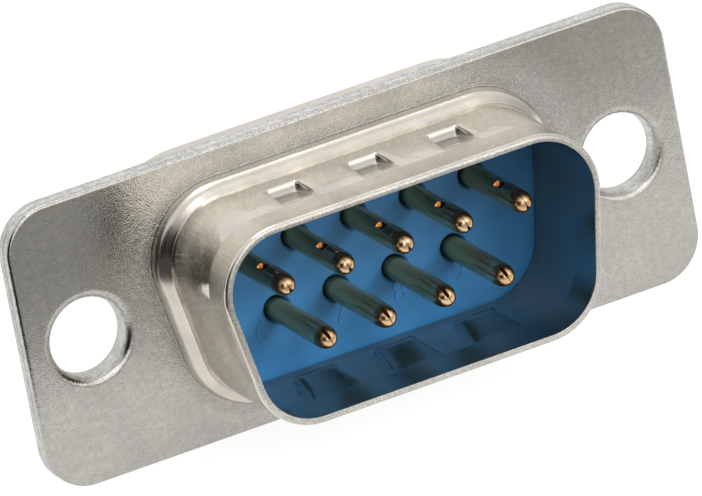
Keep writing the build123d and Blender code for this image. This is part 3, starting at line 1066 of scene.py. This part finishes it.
class PlatingBench(MaterialBench):
    """The plating: masks for the places on the sheets, and the tone, roughness and relief they get."""

    def __init__(self, shell):
        super().__init__("plating")
        self.shell = shell
        self.fine = self.grain(shell.grain, PLATING_DRIFT)
        self.cloud = self.grain(shell.cloud, PLATING_DRIFT)
        depth = self.axis("Y")
        self.distance = self.keyed_distance(shell)
        self.inner = self.attribute("inner")
        back = self.ramp(depth, *(FLANGE_BACK + height for height in DRAWN))
        self.drawn = self.math("MAXIMUM", self.ramp(depth, *(-height for height in DRAWN)), back)
        self.flat = self.fade(self.drawn, 1.0, 0.0)
        self.wall = self.math("MAXIMUM", self.ramp(depth, *(-height for height in WALL)), back)
        self.stretched = self.ramp(self.distance, *STRETCHED, 1.0, 0.0)
        self.rim = self.ramp(depth, *(edge - RIM_LEVEL for edge in CUT_RIM))
        sheets = self.ramp(depth, FLANGE_BACK - SIDES_END, FLANGE_BACK, 1.0, 0.0)
        self.sides = self.times(self.ramp(depth, *CUT_SIDES), sheets)
        self.pressed = self.dimples(depth)

    def dimples(self, depth):
        """A mask for the dimples on the outside: what lies deep in the wall, behind the rim band."""
        sunk = self.ramp(self.distance, *(self.shell.wall - sink for sink in SUNK))
        band = self.shell.rim_band - RIM_LEVEL
        behind = self.ramp(depth, band - BAND_SOFT, band + BAND_SOFT)
        return self.times(behind, sunk, self.fade(self.inner, 1.0, 0.0))

    def painted_crease_shade(self):
        """A mask for the painted shade on the flange at the step's foot: a dark fringe in its crease."""
        shell = self.shell
        foot = shell.wall + shell.wall_draft + shell.step_ledge + shell.step_slope
        fringe = self.ramp(self.distance, foot, foot + PAINTED_CREASE_SHADE_WIDTH, shell.foot_painted_crease_shade, 0.0)
        return self.times(fringe, self.flat, self.ramp(self.fine["Height"], *PAINTED_CREASE_SHADE_NOISE, PAINTED_CREASE_SHADE_LEAST, 1.0))

    def tone(self):
        """Satin on the flat sheet, brighter where it was drawn, darker inside with painted shade, paler on
        the cut edges.
        """
        shell, fine = self.shell, self.fine
        satin = shell.satin_colour
        # The shade tone is painted shade, used inside the shroud and in the dimples.
        shade, dull = shaded(satin, SHADE), shaded(satin, DULL)
        worn = self.times(self.rim, self.ramp(fine["Height"], *RIM_NOISE))
        patches = self.ramp(self.cloud["Height"], *PATCH_NOISE, 0.0, shell.patch_tone)
        pits = self.times(fine["Speckle"], self.fade(self.drawn, shell.pit_tone, DRAWN_PITS))
        layers = (
            (self.drawn, shell.bright_colour),
            # Painted shade inside the shroud
            (self.times(self.inner, shell.inner_shade), shade),
            (self.sides, shell.cut_colour),
            (worn, shaded(shell.cut_colour, WORN)),
            (self.ramp(fine["Drift"], *TONE_NOISE, 0.0, shell.drift_tone), dull),
            (self.times(patches, self.fade(self.drawn, 1.0, DRAWN_PATCHES)), dull),
            # Painted shade in the crease at the step's foot
            (self.painted_crease_shade(), shaded(satin, PAINTED_CREASE_SHADE)),
            # Painted shade in the dimples
            (self.times(self.pressed, shell.dimple_shade), shade),
            (pits, shaded(satin, PIT)),
        )
        tone = satin
        for share, colour in layers:
            tone = self.mix(share, tone, colour)
        return tone

    def roughness(self):
        """Each place's own roughness, with a slow drift."""
        shell = self.shell
        rough = self.fade(self.drawn, shell.satin_roughness, shell.step_roughness)
        changes = (
            (self.wall, shell.bright_roughness - shell.step_roughness),
            (self.inner, shell.inner_roughness - shell.bright_roughness),
            (self.math("MAXIMUM", self.rim, self.sides), shell.cut_roughness - shell.bright_roughness),
            (self.pressed, shell.dimple_roughness),
        )
        for mask, change in changes:
            rough = self.math("ADD", rough, self.times(mask, change))
        return self.times(rough, self.ramp(self.fine["Drift"], *FINISH_NOISE, *FINISH_SPREAD))

    def relief(self):
        """Grain and patches on the flat sheet, ripples round the step and slow waves in the drawn walls."""
        shell, drift = self.shell, self.fine["Drift"]
        grain = self.times(self.cloud["Height"], shell.cloud_depth / shell.grain_depth)
        grain = self.math("ADD", grain, self.fine["Height"])
        coarse = self.fade(self.stretched, 1.0, shell.stretch_grain)
        grain = self.times(grain, self.times(self.fade(self.drawn, 1.0, DRAWN_GRAIN), coarse))
        ripples = self.math("SINE", self.times(self.distance, 2 * math.pi / shell.ripple_pitch))
        ripples = self.times(ripples, self.times(self.stretched, self.flat))
        patchy = self.ramp(drift, *RIPPLE_NOISE, RIPPLE_LEAST, shell.ripple_depth / shell.grain_depth)
        relief = self.math("ADD", grain, self.times(ripples, patchy))
        waves = self.times(drift, self.fade(self.drawn, 0.0, shell.wave_depth / shell.grain_depth))
        return self.math("ADD", relief, waves)


def plating(shell):
    """Tin plating for both sheets."""
    found = bpy.data.materials.get("plating")
    if found:
        return found
    bench = PlatingBench(shell)
    bench.give("Base Color", bench.tone())
    bench.give("Roughness", bench.roughness())
    bench.give("Metallic", 1.0)
    bench.bump(bench.relief(), shell.grain_depth)
    return bench.material


def blue_moulding(moulding):
    """Blue thermoplastic with a fine mould texture."""
    found = bpy.data.materials.get("blue_moulding")
    if found:
        return found
    bench = MaterialBench("blue_moulding")
    grain = bench.grain(moulding.grain, PLASTIC_DRIFT)
    blue = moulding.plastic_colour
    drift = bench.ramp(grain["Drift"], *PLASTIC_NOISE)
    bench.give("Base Color", bench.mix(drift, blue, shaded(blue, PLASTIC_DEEP)))
    finish = [moulding.roughness * share for share in PLASTIC_SPREAD]
    bench.give("Roughness", bench.fade(grain["Speckle"], *finish))
    bench.bump(grain["Height"], PLASTIC_RELIEF)
    return bench.material


def gold_flash(contact):
    """Gold flash over rolled brass, darker along the shank behind the nose with painted shade, pale round
    each window with a painted highlight, and with a faint grain.
    """
    bench = MaterialBench("gold_flash")
    grain = bench.grain(FLASH_GRAIN, FLASH_DRIFT)
    gold = contact.gold_colour
    worn = [part * share for part, share in zip(gold, FLASH_WEAR)]
    tone = bench.mix(bench.ramp(grain["Drift"], *FLASH_NOISE), gold, worn)
    along = bench.axis("Y")
    # Painted shade along the shank behind the tip
    tone = bench.mix(bench.ramp(along, *(back - TIP_LEVEL for back in SHADED_SHANK)), tone, contact.shank_shade_colour)
    # A painted highlight round each window's middle, on the side of the pin that carries the window
    front = contact.window_setback - TIP_LEVEL - HIGHLIGHT_FRONT
    back = contact.window_setback - TIP_LEVEL + HIGHLIGHT_BACK
    foot = ROW_SPACING / 2 + HIGHLIGHT_FOOT
    window_highlight = bench.times(
        bench.ramp(bench.math("ABSOLUTE", bench.axis("Z")), foot, foot + HIGHLIGHT_SOFT),
        bench.ramp(along, front, front + HIGHLIGHT_SOFT),
        bench.ramp(along, back, back + HIGHLIGHT_SOFT, 1.0, 0.0),
    )
    bench.give("Base Color", bench.mix(window_highlight, tone, contact.window_highlight_colour))
    finish = [contact.roughness * share for share in FINISH_SPREAD]
    bench.give("Roughness", bench.ramp(grain["Drift"], *FLASH_FINISH, *finish))
    bench.give("Metallic", 1.0)
    bench.bump(grain["Height"], FLASH_RELIEF)
    return bench.material


class PLUG_OT_front_shell(bpy.types.Operator):
    """Build the front shell: flange, step, keyed shroud and collars"""

    bl_idname = "plug.front_shell"
    bl_label = "Front shell"

    def execute(self, context):
        shell = context.scene.plug_shell
        place(front_shell_mesh(shell), "plug_front_shell", plating(shell), ["front_shell"])
        return {"FINISHED"}


class PLUG_OT_rear_shell(bpy.types.Operator):
    """Build the rear shell: flange and box"""

    bl_idname = "plug.rear_shell"
    bl_label = "Rear shell"

    def execute(self, context):
        shell = context.scene.plug_shell
        place(rear_shell_mesh(shell), "plug_rear_shell", plating(shell), ["rear_shell"])
        return {"FINISHED"}


class PLUG_OT_mouldings(bpy.types.Operator):
    """Build the two insulators"""

    bl_idname = "plug.mouldings"
    bl_label = "Insulators"

    def execute(self, context):
        scene = context.scene
        blue = blue_moulding(scene.plug_moulding)
        sizes = (scene.plug_shell, scene.plug_moulding, scene.plug_contact)
        place(front_moulding_mesh(*sizes), "plug_front_insulator", blue, ["front_insulator"])
        place(rear_moulding_mesh(*sizes), "plug_rear_insulator", blue, ["rear_insulator"])
        return {"FINISHED"}


class PLUG_OT_numbers(bpy.types.Operator):
    """Raise the contact numbers on the mating face"""

    bl_idname = "plug.numbers"
    bl_label = "Contact numbers"

    def execute(self, context):
        moulding = context.scene.plug_moulding
        place(number_mesh(moulding), "plug_numbers", blue_moulding(moulding))
        return {"FINISHED"}


class PLUG_OT_contacts(bpy.types.Operator):
    """Roll one contact and set it out in both rows"""

    bl_idname = "plug.contacts"
    bl_label = "Contacts"

    def execute(self, context):
        contact = context.scene.plug_contact
        gold = gold_flash(contact)
        pattern = bpy.data.objects.new("contact_pattern", contact_mesh(contact))
        context.scene.collection.objects.link(pattern)
        tree, sockets = contact_rows_tree()
        holder = bpy.data.objects.new("contact_holder", bpy.data.meshes.new("contact_holder"))
        context.scene.collection.objects.link(holder)
        rows = holder.modifiers.new("Contact rows", "NODES")
        rows.node_group = tree
        rows[sockets["Contact"]] = pattern
        rows[sockets["Pitch"]] = PITCH
        rows[sockets["Row spacing"]] = ROW_SPACING
        rows[sockets["Wide row"]] = WIDE_ROW
        rows[sockets["Material"]] = gold
        depsgraph = context.evaluated_depsgraph_get()
        mesh = bpy.data.meshes.new_from_object(holder.evaluated_get(depsgraph))
        holder.modifiers.remove(rows)
        bpy.data.objects.remove(holder)
        bpy.data.objects.remove(pattern)
        if not mesh.polygons:
            raise RuntimeError("the contact rows came out empty")
        nodes = [f"contact_{number}" for number in range(1, WIDE_ROW + NARROW_ROW + 1)]
        place(mesh, "plug_contacts", gold, nodes)
        return {"FINISHED"}


def floor_material(stage):
    """A floor that glows white to the camera and in the metal, and keeps the plug's shadow."""
    bench = MaterialBench("floor")
    bench.give("Base Color", (*stage.floor_colour, 1.0))
    bench.give("Roughness", MATT)
    bench.give("Emission Color", WHITE)
    path = bench.nodes.new("ShaderNodeLightPath").outputs
    mirrored = bench.times(path["Is Glossy Ray"], stage.floor_mirrored)
    seen = bench.math("MAXIMUM", path["Is Camera Ray"], mirrored)
    seen = bench.math("MAXIMUM", seen, path["Is Transmission Ray"])
    bench.give("Emission Strength", bench.times(seen, stage.floor_glow))
    return bench.material


def bearing(azimuth, elevation):
    """The direction from the plug to something at that turn from straight in front and at that height."""
    flat = math.cos(elevation)
    return Vector((math.sin(azimuth) * flat, -math.cos(azimuth) * flat, math.sin(elevation)))


def add_light(name, direction, distance, size, power, mirrored=True):
    """A square soft light that faces the plug from a direction."""
    lamp = bpy.data.lights.new(name, "AREA")
    lamp.shape = "SQUARE"
    lamp.size = size
    lamp.energy = power
    holder = bpy.data.objects.new(name, lamp)
    bpy.context.scene.collection.objects.link(holder)
    towards = Vector(direction).normalized()
    holder.location = towards * distance
    holder.rotation_euler = towards.to_track_quat("Z", "Y").to_euler()
    holder.visible_glossy = mirrored


def add_card(name, corners, level, tone, right_tone):
    """A dark card on the floor, seen only in reflections, with another tone towards the right."""
    mesh = bpy.data.meshes.new(name)
    mesh.from_pydata([(corner.x, corner.y, level) for corner in corners], [], [(0, 1, 2, 3)])
    bench = MaterialBench(name)
    right = bench.ramp(bench.axis("X"), *CARD_TURN)
    bench.give("Base Color", bench.mix(right, tone, right_tone))
    bench.give("Roughness", MATT)
    mesh.materials.append(bench.material)
    card = bpy.data.objects.new(name, mesh)
    card.visible_camera = False
    card.visible_diffuse = False
    card.visible_shadow = False
    card.visible_transmission = False
    bpy.context.scene.collection.objects.link(card)


def add_cards(stage, low):
    """A grey card close in front and a darker one that carries the dark side down to the floor."""
    forward = bearing(stage.card_azimuth, 0.0)
    across = UP.cross(forward) * CARD_HALF_WIDTH
    near, far = forward * stage.card_reach, forward * (stage.card_reach + stage.card_depth)
    corners = (near - across, near + across, far + across, far - across)
    right_tone = shaded(stage.card_colour, CARD_RIGHT)
    add_card("near_card", corners, low + NEAR_CARD_RISE, stage.card_colour, right_tone)
    start = bearing(stage.dark_azimuth - stage.dark_width, 0.0)
    end = bearing(stage.dark_azimuth + stage.dark_width, 0.0)
    corners = (start * DARK_FROM, end * DARK_FROM, end * DARK_TO, start * DARK_TO)
    shade = shaded(stage.card_colour, stage.dark_side)
    add_card("far_card", corners, low + FAR_CARD_RISE, shade, shade)


def studio_world(stage):
    """Soft light all round, stronger from behind, with a bright panel in front and a dark side."""
    world = bpy.data.worlds.new("studio")
    world.use_nodes = True
    tree = world.node_tree
    direction = tree.nodes.new("ShaderNodeTexCoord").outputs["Generated"]

    def along(axis, limits, start, end):
        dot = tree.nodes.new("ShaderNodeVectorMath")
        dot.operation = "DOT_PRODUCT"
        dot.inputs[1].default_value = axis
        tree.links.new(direction, dot.inputs[0])
        return range_node(tree, dot.outputs["Value"], *limits, start, end, "SMOOTHSTEP")

    def disc(azimuth, elevation, width, outside, inside):
        limits = (math.cos(width + DISC_SOFT), math.cos(width - DISC_SOFT))
        return along(bearing(azimuth, elevation), limits, outside, inside)

    light = along(SKY_AXIS, SKY_RANGE, stage.front_light, stage.back_light)
    panel = disc(stage.panel_azimuth, stage.panel_elevation, stage.panel_width, 0.0, stage.panel_light)
    core = disc(stage.core_azimuth, stage.core_elevation, stage.core_width, 0.0, stage.core_light)
    light = math_node(tree, "MAXIMUM", light, math_node(tree, "MAXIMUM", panel, core))
    room = disc(stage.dark_azimuth, stage.dark_elevation, stage.dark_width, 1.0, stage.dark_side)
    background = tree.nodes["Background"]
    background.inputs["Color"].default_value = WHITE
    tree.links.new(math_node(tree, "MULTIPLY", light, room), background.inputs["Strength"])
    return world


class PLUG_OT_stage(bpy.types.Operator):
    """Set up the camera, the floor and the light"""

    bl_idname = "plug.stage"
    bl_label = "Stage"

    def execute(self, context):
        scene = context.scene
        stage = scene.plug_stage
        back = bearing(stage.azimuth, stage.elevation)
        level = UP.cross(back).normalized()
        upright = back.cross(level)
        right = level * math.cos(stage.roll) + upright * math.sin(stage.roll)
        turn = Matrix((right, back.cross(right), back)).transposed()
        lens = bpy.data.cameras.new("camera")
        lens.sensor_width = SENSOR_WIDTH
        lens.lens = stage.focal_pixels * SENSOR_WIDTH / IMAGE_WIDTH
        lens.clip_start = CLIP_START
        camera = bpy.data.objects.new("camera", lens)
        camera.matrix_world = Matrix.Translation(Vector(stage.aim) + back * stage.distance) @ turn.to_4x4()
        scene.collection.objects.link(camera)
        scene.camera = camera

        mesh = bpy.data.meshes.new("floor")
        low = CAD_BOX[0][2]
        signs = ((-1, -1), (1, -1), (1, 1), (-1, 1))
        corners = [(x * FLOOR_HALF, y * FLOOR_HALF, low) for x, y in signs]
        mesh.from_pydata(corners, [], [(0, 1, 2, 3)])
        mesh.materials.append(floor_material(stage))
        floor = bpy.data.objects.new("floor", mesh)
        scene.collection.objects.link(floor)

        add_cards(stage, low)
        scene.world = studio_world(stage)
        add_light(*KEY_LIGHT, stage.key_power, False)
        add_light(*TOP_LIGHT, stage.top_power)
        scene.view_settings.view_transform = "Standard"
        return {"FINISHED"}


class PLUG_PT_panel(bpy.types.Panel):
    """The plug's pieces and settings"""

    bl_idname = "PLUG_PT_panel"
    bl_label = "D-sub plug"
    bl_space_type = "VIEW_3D"
    bl_region_type = "UI"
    bl_category = "Plug"

    def draw(self, context):
        for operator in OPERATORS:
            self.layout.operator(operator.bl_idname)
        for name in SETTINGS:
            group = getattr(context.scene, name)
            box = self.layout.box()
            for key in group.__annotations__:
                box.prop(group, key)


OPERATORS = (
    PLUG_OT_front_shell,
    PLUG_OT_rear_shell,
    PLUG_OT_mouldings,
    PLUG_OT_numbers,
    PLUG_OT_contacts,
    PLUG_OT_stage,
)
SETTINGS = {
    "plug_shell": ShellSettings,
    "plug_moulding": MouldingSettings,
    "plug_contact": ContactSettings,
    "plug_stage": StageSettings,
}


def register():
    for name, group in SETTINGS.items():
        bpy.utils.register_class(group)
        setattr(bpy.types.Scene, name, bpy.props.PointerProperty(type=group))
    for item in (*OPERATORS, PLUG_PT_panel):
        bpy.utils.register_class(item)


def unregister():
    for item in (PLUG_PT_panel, *reversed(OPERATORS)):
        bpy.utils.unregister_class(item)
    for name, group in reversed(SETTINGS.items()):
        delattr(bpy.types.Scene, name)
        bpy.utils.unregister_class(group)


def main():
    """Registers the add-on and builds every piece."""
    register()
    bpy.ops.plug.front_shell()
    bpy.ops.plug.rear_shell()
    bpy.ops.plug.mouldings()
    bpy.ops.plug.numbers()
    bpy.ops.plug.contacts()
    bpy.ops.plug.stage()


if __name__ == "__main__":
    main()
